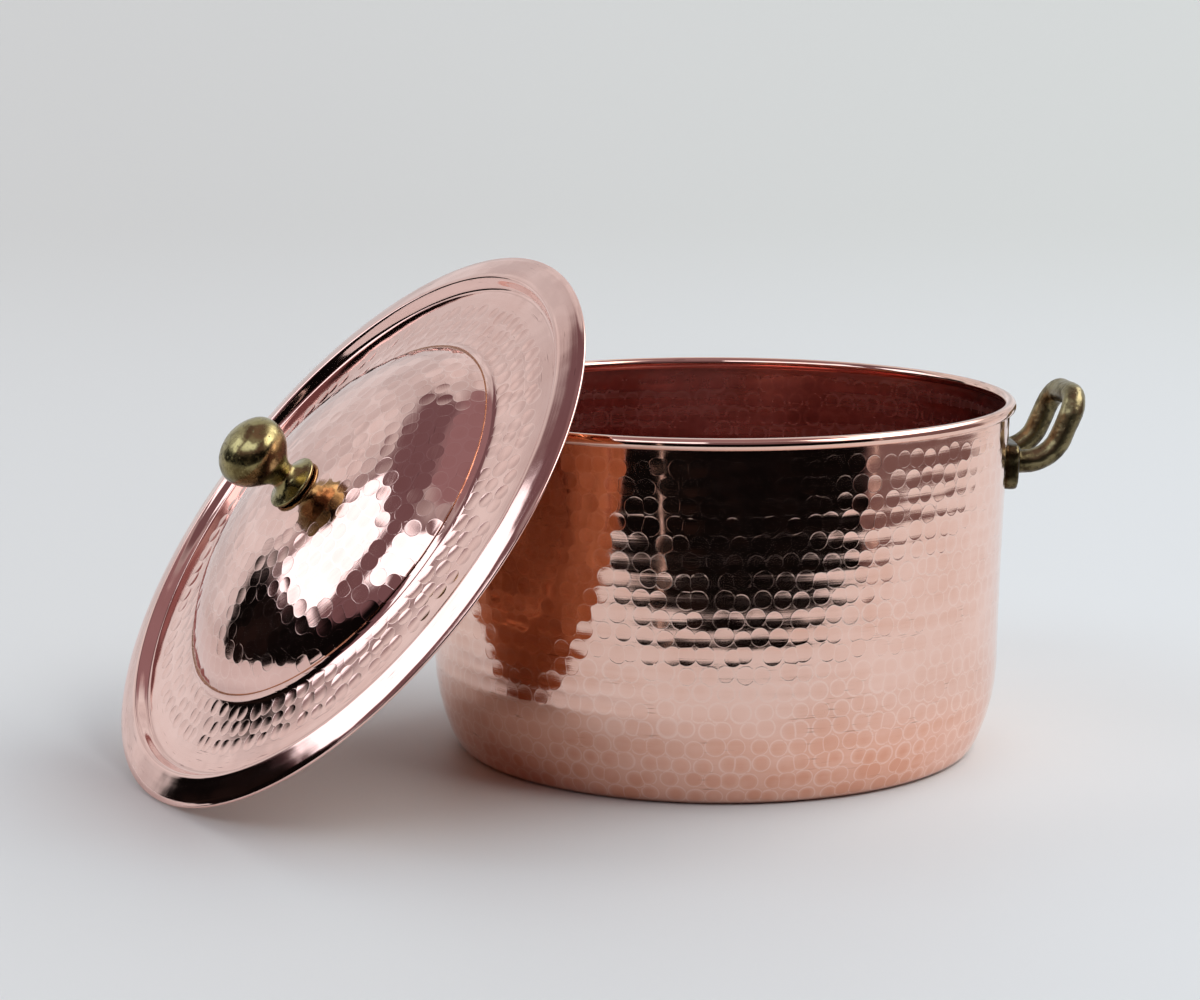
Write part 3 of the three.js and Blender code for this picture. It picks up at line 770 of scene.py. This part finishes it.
def build_handle(node, angle, seed):
    bar, bar_faces = sweep(loop_centres(), BAR, 24)
    plate, plate_faces = plate_solid()
    vertices = bar + plate
    faces = bar_faces + [tuple(len(bar) + i for i in face) for face in plate_faces]
    piece = add_object(node + "_cast", vertices, faces, (HANDLE_BRASS,))
    remesh = piece.modifiers.new("one_body", "REMESH")
    remesh.mode = "VOXEL"
    remesh.voxel_size = 0.62 * MM
    remesh.use_smooth_shade = True
    soften = piece.modifiers.new("soften", "SMOOTH")
    soften.factor = 0.5
    soften.iterations = 7
    apply_modifiers(piece)
    piece.data.materials.clear()
    piece.data.materials.append(HANDLE_BRASS)
    roughen(piece, 0.22, 0.10, seed)
    piece.data.shade_smooth()
    piece.matrix_world = Matrix.Rotation(angle, 4, "Z")
    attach(piece, "pot")
    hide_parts(node)


# ---------------------------------------------------------------- lid
JOINTS = {joint["name"]: joint for joint in frame["record"]["behaviour"]["joints"]}
LID_AXIS = Vector(JOINTS["lid_lift"]["axis"])


def dome_height(radius):
    share = np.clip(1 - (np.asarray(radius, dtype=float) / CREASE_RADIUS) ** 2, 0, None)
    return CREASE_HEIGHT + DOME_RISE * share ** DOME_FULLNESS


def lid_place():
    """The lid's own frame, with Z along its axis: the washer's centre lies on that axis."""
    low, high = (Vector(corner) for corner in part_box("knob_washer"))
    washer_height = float(dome_height(9.0)) - SHEET - GAP - 0.6
    origin = (low + high) / 2 - LID_AXIS * washer_height * MM
    tilt = math.acos(LID_AXIS.z)
    turn = math.atan2(LID_AXIS.y, LID_AXIS.x)
    return Matrix.Translation(origin) @ Matrix.Rotation(turn, 4, "Z") @ Matrix.Rotation(tilt, 4, "Y")


LID_PLACE = lid_place()


def round_corner(before, corner, after, radius, steps=5):
    """Points of a fillet that replaces a corner of an outline."""
    corner = np.array(corner, dtype=float)
    one = np.array(before, dtype=float) - corner
    two = np.array(after, dtype=float) - corner
    one /= np.hypot(*one)
    two /= np.hypot(*two)
    start, end = corner + one * radius, corner + two * radius
    t = np.linspace(0, 1, steps + 1)[:, None]
    return (1 - t) ** 2 * start + 2 * t * (1 - t) * corner + t ** 2 * end


def lid_top():
    """The top face from the screw hole out to the rounded edge."""
    first_angle, last_angle = math.asin(SCREW_HOLE / CREASE_RADIUS), math.radians(81.0)
    radii = CREASE_RADIUS * np.sin(np.linspace(first_angle, last_angle, 86))
    dome = np.stack([radii, dome_height(radii)], axis=1)
    crease = (CREASE_RADIUS + 0.15, CREASE_HEIGHT)
    tray = (TRAY_RADIUS, TRAY_HEIGHT)
    share = np.linspace(0, 1, 30)[3:-2]
    span = TRAY_RADIUS - CREASE_RADIUS
    saucer = np.stack([
        CREASE_RADIUS + span * share,
        CREASE_HEIGHT - 0.19 * span * share + 0.0867 * span * share ** 2,
    ], axis=1)
    step = (RIDGE_INNER, RIDGE_HEIGHT)
    crest = (RIDGE_OUTER, RIDGE_HEIGHT)
    flange = (FLANGE_RADIUS, FLANGE_HEIGHT)
    edge = (LID_RADIUS, 0.0)
    return np.concatenate([
        dome,
        round_corner(dome[-1], crease, saucer[0], 3.0, 8),
        saucer,
        round_corner(saucer[-1], tray, step, 1.0, 6),
        round_corner(tray, step, crest, 0.65, 5),
        round_corner(step, crest, flange, 0.65, 5),
        round_corner(crest, flange, edge, 1.0, 4),
        round_corner(flange, edge, (LID_RADIUS, -1.5), 0.5),
    ])


def build_lid():
    top = lid_top()
    normals = profile_normals(top, False)
    under = top + normals * SHEET
    under[-1] = (LID_RADIUS - 0.15, -SHEET - 0.2)
    under[0] = (SCREW_HOLE, under[1, 1])
    keep = [0]
    for i in range(1, len(under)):
        if under[i, 0] > under[keep[-1], 0] + 0.25 or abs(under[i, 1] - under[keep[-1], 1]) > 0.4:
            keep.append(i)
    under = under[keep]
    top_line = resample(top, 1.12)
    under_line = resample(under, 2.6)
    edge_points = arc((LID_RADIUS - 0.85, -0.75), 0.72, -math.pi / 2, math.pi / 2, 8)
    top_line = top_line[top_line[:, 0] < LID_RADIUS - 0.9]
    under_line = under_line[under_line[:, 0] < LID_RADIUS - 0.9]
    top_line = top_line[::-1]
    points = np.concatenate([under_line, edge_points, top_line])

    def count_at(radius, fine):
        if radius < 14:
            return 84
        if radius < 32:
            return 168
        if radius < 66 or not fine:
            return 336
        return 672

    counts = [count_at(r, False) for r in under_line[:, 0]]
    counts += [336] * len(edge_points)
    counts += [count_at(r, True) for r in top_line[:, 0]]
    for i in range(1, len(counts)):              # neighbours differ by a factor of two at most
        counts[i] = min(counts[i], 2 * counts[i - 1])
    first_top = len(under_line) + len(edge_points)

    profile = top_line[::-1]
    along = np.concatenate([[0.0], np.cumsum(np.hypot(*np.diff(profile, axis=0).T))])
    crease_at = float(np.interp(CREASE_RADIUS, profile[:, 0], along))
    tray_at = float(np.interp(TRAY_RADIUS - 1.0, profile[:, 0], along))
    rows = []
    reach = crease_at - 3.6
    while reach > 13.0:
        rows.append((reach, float(np.interp(reach, along, profile[:, 0]))))
        reach -= ROW_PITCH
    reach = crease_at + 6.4
    while reach < tray_at - 5.0:
        rows.append((reach, float(np.interp(reach, along, profile[:, 0]))))
        reach += ROW_PITCH - 0.2
    marks = HammerMarks(29, rows, size=(3.3, 4.3), depth=(0.05, 0.09))
    whole_along = np.interp(points[:, 0], profile[:, 0], along)
    strength = np.clip((points[:, 0] - 10.0) / 5.0, 0, 1) * np.clip((118.5 - points[:, 0]) / 3.0, 0, 1)
    strength *= 1.0 + 0.5 * np.clip((points[:, 0] - 90.0) / 6.0, 0, 1)
    strength[:first_top] *= -0.5

    def sink(i, turns):
        if strength[i] == 0:
            return np.zeros(len(turns))
        return strength[i] * marks.depth(whole_along[i], points[i, 0], turns)

    vertices, faces, owner, smooth = revolve(points, counts, sink, closed=True)
    inside = owner < len(under_line)
    lid = add_object("lid_dish", vertices, faces, (LID_COPPER, LID_INSIDE), inside, LID_PLACE, smooth)
    own_place = lid.data.attributes.new("own_place", "FLOAT_VECTOR", "POINT")
    own_place.data.foreach_set("vector", (vertices * MM).astype(np.float32).ravel())
    ring = np.repeat(np.arange(len(counts)), counts)
    marks.label(lid.data, whole_along[ring], np.maximum(points[ring, 0], 1.0),
                np.arctan2(vertices[:, 1], vertices[:, 0]), strength[ring])
    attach(lid, "lid")
    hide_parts("lid_shell")


def bezier(a, b, c, d, steps):
    t = np.linspace(0, 1, steps + 1)[1:, None]
    a, b, c, d = (np.array(p, dtype=float) for p in (a, b, c, d))
    return (1 - t) ** 3 * a + 3 * t * (1 - t) ** 2 * b + 3 * t * t * (1 - t) * c + t ** 3 * d


def build_knob():
    neck = (5.8, 6.9)
    widest = (15.6, 24.1)
    quarter = np.linspace(0, math.pi / 2, 26)[1:]
    crown = [(15.6 * math.cos(a), 24.1 + 10.9 * math.sin(a)) for a in quarter]
    outline = np.concatenate([
        [(0.0, 15.0), (2.8, 15.0), (2.8, 0.0), (11.3, 0.0), (12.0, 0.25), (12.2, 0.8)],
        [(12.25, 1.3), (12.05, 1.75)],
        bezier((12.05, 1.75), (10.0, 2.3), (5.8, 4.3), neck, 16),
        bezier(neck, (5.8, 11.9), (15.6, 15.1), widest, 24),
        crown,
    ])
    outline[-1, 0] = 0.0
    counts = [1] + [96] * (len(outline) - 2) + [1]
    vertices, faces, _, _ = revolve(outline, counts)
    lift = Matrix.Translation((0, 0, (CREASE_HEIGHT + DOME_RISE + GAP) * MM))
    knob = add_object("lid_knob_cast", vertices, faces, (KNOB_BRASS,), place=LID_PLACE @ lift)
    roughen(knob, 0.16, 0.07, 5)
    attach(knob, "lid")
    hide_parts("lid_knob")


def build_washer_and_screw():
    washer_top = float(dome_height(9.0)) - SHEET - GAP
    ring = [
        (2.8, 0.1), (2.9, 0.0), (8.8, 0.0), (9.0, 0.2),
        (9.0, 1.0), (8.8, 1.2), (2.9, 1.2), (2.8, 1.1),
    ]
    vertices, faces, _, _ = revolve(ring, [64] * len(ring), closed=True)
    lift = Matrix.Translation((0, 0, (washer_top - 1.2) * MM))
    washer = add_object("knob_washer_disc", vertices, faces, (SCREW_BRASS,), place=LID_PLACE @ lift)
    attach(washer, "lid")
    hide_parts("knob_washer")

    outline = [
        (0, -3.2), (2.0, -3.2), (4.0, -3.2), (5.2, -3.1), (5.8, -2.75), (6.0, -2.3),
        (6.0, -0.2), (5.9, 0.0), (2.5, 0.0), (2.5, 16.4), (2.0, 17.0), (0, 17.0),
    ]
    vertices, faces, _, _ = revolve(outline, [1] + [64] * (len(outline) - 2) + [1])
    lift = Matrix.Translation((0, 0, (washer_top - 1.2 - GAP) * MM))
    screw = add_object("knob_screw_turned", vertices, faces, (SCREW_BRASS,), place=LID_PLACE @ lift)
    slot_box = bmesh.new()
    bmesh.ops.create_cube(slot_box, size=1.0)
    bmesh.ops.scale(slot_box, vec=(13.5 * MM, 1.2 * MM, 2.4 * MM), verts=slot_box.verts)
    bmesh.ops.translate(slot_box, vec=(0, 0, -3.2 * MM), verts=slot_box.verts)
    cutter_mesh = bpy.data.meshes.new("slot_cutter")
    slot_box.to_mesh(cutter_mesh)
    slot_box.free()
    cutter = bpy.data.objects.new("slot_cutter", cutter_mesh)
    cutter.matrix_world = LID_PLACE @ lift
    bpy.context.scene.collection.objects.link(cutter)
    cut = screw.modifiers.new("slot", "BOOLEAN")
    cut.operation = "DIFFERENCE"
    cut.solver = "EXACT"
    cut.object = cutter
    bpy.context.view_layer.update()
    apply_modifiers(screw)
    bpy.data.objects.remove(cutter)
    bpy.data.meshes.remove(cutter_mesh)
    screw.data.set_sharp_from_angle(angle=math.radians(35))
    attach(screw, "lid")
    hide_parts("knob_screw")


# ---------------------------------------------------------------- stage
STUDIO_TURN = -6.5              # degrees: the studio stands at this angle to the handles
TABLE_FRONT = -0.385            # where the pale table ends, in front of the pot


def stage_floor(name, outline, material, seen_in_mirrors):
    mesh = bpy.data.meshes.new(name)
    mesh.from_pydata([(x, y, 0) for x, y in outline], [], [tuple(range(len(outline)))])
    mesh.materials.append(material)
    floor = bpy.data.objects.new(name, mesh)
    bpy.context.scene.collection.objects.link(floor)
    floor.matrix_world = Matrix.Rotation(math.radians(STUDIO_TURN), 4, "Z")
    floor.visible_glossy = seen_in_mirrors


def floor_material():
    material, nodes, shader, place = new_material("pale_table")
    length = nodes.add("ShaderNodeVectorMath", operation="LENGTH")
    nodes.feed(length.inputs[0], place)
    # painted light: the table is painted lighter to the right and near the pot and darker to the left and
    # far off, standing in for how the light falls on it
    sideways = nodes.math("DIVIDE", nodes.split(place)[0], nodes.math("ADD", length.outputs["Value"], 0.5))
    right = nodes.ramp(sideways, -0.2, 0.3)
    far = nodes.ramp(length.outputs["Value"], 0.4, 3.0)
    near_tone = nodes.mix(right, (0.745, 0.775, 0.775, 1), (0.805, 0.855, 0.865, 1))
    far_tone = nodes.mix(right, (0.66, 0.675, 0.66, 1), (0.71, 0.75, 0.725, 1))
    # painted shadow: a darker, warm patch on the table under the lid, standing in for its shadow and the
    # light bounced off the copper
    under_lid = nodes.add("ShaderNodeVectorMath", operation="DISTANCE")
    nodes.feed(under_lid.inputs[0], place)
    under_lid.inputs[1].default_value = (-0.165, -0.06, 0.0)
    painted_copper_shadow = nodes.ramp(under_lid.outputs["Value"], 0.03, 0.17, 0.5, 0.0)
    near_tone = nodes.mix(painted_copper_shadow, near_tone, (0.70, 0.575, 0.51, 1))
    nodes.feed(shader.inputs["Base Color"], nodes.mix(far, near_tone, far_tone))
    shader.inputs["Roughness"].default_value = 0.55
    shader.inputs["Specular IOR Level"].default_value = 0.25
    return material


def add_stage():
    material = floor_material()
    far = 60.0
    rounded_end = [(0.30, TABLE_FRONT), (0.56, -0.25), (0.66, -0.06), (0.73, 0.22), (0.76, far)]
    stage_floor("floor", [(-40, TABLE_FRONT)] + rounded_end + [(-40, far)], material, True)
    front = [(-40, -40), (40, -40), (40, far)] + rounded_end[::-1] + [(-40, TABLE_FRONT)]
    stage_floor("floor_front", front, material, False)


def add_world():
    """A soft studio: windows on the left, a large white screen on the right, a dark room in front."""
    world = bpy.data.worlds.new("studio")
    bpy.context.scene.world = world
    world.use_nodes = True
    tree = world.node_tree
    tree.nodes.clear()
    nodes = Nodes(tree)
    direction = nodes.add("ShaderNodeTexCoord").outputs["Generated"]
    x, y, z = nodes.split(direction)
    flat_square = nodes.math("SUBTRACT", 1.0, nodes.math("MULTIPLY", z, z))
    flat = nodes.math("SQRT", nodes.math("MAXIMUM", flat_square, 1e-6))
    elevation = nodes.math("MULTIPLY", nodes.math("ARCSINE", z), 180 / math.pi)

    def patch(azimuth, half_width, low, high, soft_side, soft_edge):
        a = math.radians(azimuth + STUDIO_TURN)
        along_x = nodes.math("MULTIPLY", x, math.cos(a))
        towards = nodes.math("ADD", along_x, nodes.math("MULTIPLY", y, math.sin(a)))
        cosine = nodes.math("MAXIMUM", nodes.math("DIVIDE", towards, flat), -1.0)
        cosine = nodes.math("MINIMUM", cosine, 1.0)
        away = nodes.math("MULTIPLY", nodes.math("ARCCOSINE", cosine), 180 / math.pi)
        side = nodes.ramp(away, half_width - soft_side, half_width + soft_side, 1.0, 0.0)
        bottom = nodes.ramp(elevation, low - soft_edge, low + soft_edge)
        top = nodes.ramp(elevation, high - soft_edge, high + soft_edge, 1.0, 0.0)
        return nodes.math("MULTIPLY", side, nodes.math("MULTIPLY", bottom, top))

    uneven = nodes.ramp(nodes.noise(direction, 5.5, 4.0, 0.6), 0.36, 0.64)
    colour = nodes.mix(uneven, (0.58, 0.595, 0.61, 1), (0.79, 0.83, 0.85, 1))
    ceiling = nodes.ramp(elevation, 54.0, 64.0)
    colour = nodes.mix(ceiling, colour, (0.29, 0.19, 0.21, 1))
    shapes = nodes.ramp(nodes.noise(direction, 3.2, 3.0, 0.6), 0.50, 0.75)
    dark = nodes.mix(shapes, (0.003, 0.0025, 0.0025, 1), (0.014, 0.009, 0.008, 1))
    dim = (0.17, 0.105, 0.12, 1)
    colour = nodes.mix(patch(150, 30, 43, 62, 4, 3), colour, dim)
    colour = nodes.mix(patch(-95, 118, 10, 56, 6, 6), colour, dim)
    colour = nodes.mix(patch(-10, 35, -91, 14, 4, 4), colour, (0.18, 0.12, 0.12, 1))
    colour = nodes.mix(patch(-127, 92, -91, 18, 2, 2.5), colour, dark)
    bright = (1.65, 1.82, 2.0, 1)
    colour = nodes.mix(patch(166, 15, 19, 44, 1.2, 1.2), colour, bright)
    colour = nodes.mix(patch(-133, 33, 31, 50, 1.2, 1.5), colour, bright)
    stand = (0.9, 0.75, 0.68, 1)
    colour = nodes.mix(patch(-116.5, 0.35, -40, 17, 0.2, 3), colour, stand)
    colour = nodes.mix(patch(-31.5, 0.35, -40, 17, 0.2, 3), colour, stand)
    colour = nodes.mix(patch(2, 50, 30, 60, 10, 6), colour, (3.8, 3.82, 3.8, 1))

    light = nodes.add("ShaderNodeBackground")
    nodes.feed(light.inputs["Color"], colour)
    light.inputs["Strength"].default_value = 1.0
    seen = nodes.add("ShaderNodeBackground")
    seen.inputs["Color"].default_value = (0.66, 0.68, 0.675, 1)
    choose = nodes.add("ShaderNodeMixShader")
    nodes.feed(choose.inputs[0], nodes.add("ShaderNodeLightPath").outputs["Is Camera Ray"])
    nodes.feed(choose.inputs[1], light.outputs[0])
    nodes.feed(choose.inputs[2], seen.outputs[0])
    output = nodes.add("ShaderNodeOutputWorld")
    nodes.feed(output.inputs["Surface"], choose.outputs[0])


# ---------------------------------------------------------------- everything
add_camera()
bpy.context.scene.view_settings.view_transform = "Standard"
add_world()
add_stage()

build_pot()
build_handle("handle_right", 0.0, 1)
build_handle("handle_left", math.pi, 2)
for side, base in (("right", 0.0), ("left", math.pi)):
    for place, turn in (("front", -RIVET_TURN), ("rear", RIVET_TURN)):
        build_rivet(f"rivet_{side}_{place}", base + (turn if side == "right" else -turn))
build_lid()
build_knob()
build_washer_and_screw()

wire = frame["nodes"]["rim_wire"]
for material_slot in wire.material_slots:
    material_slot.material = WIRE_STEEL

bpy.context.view_layer.update()
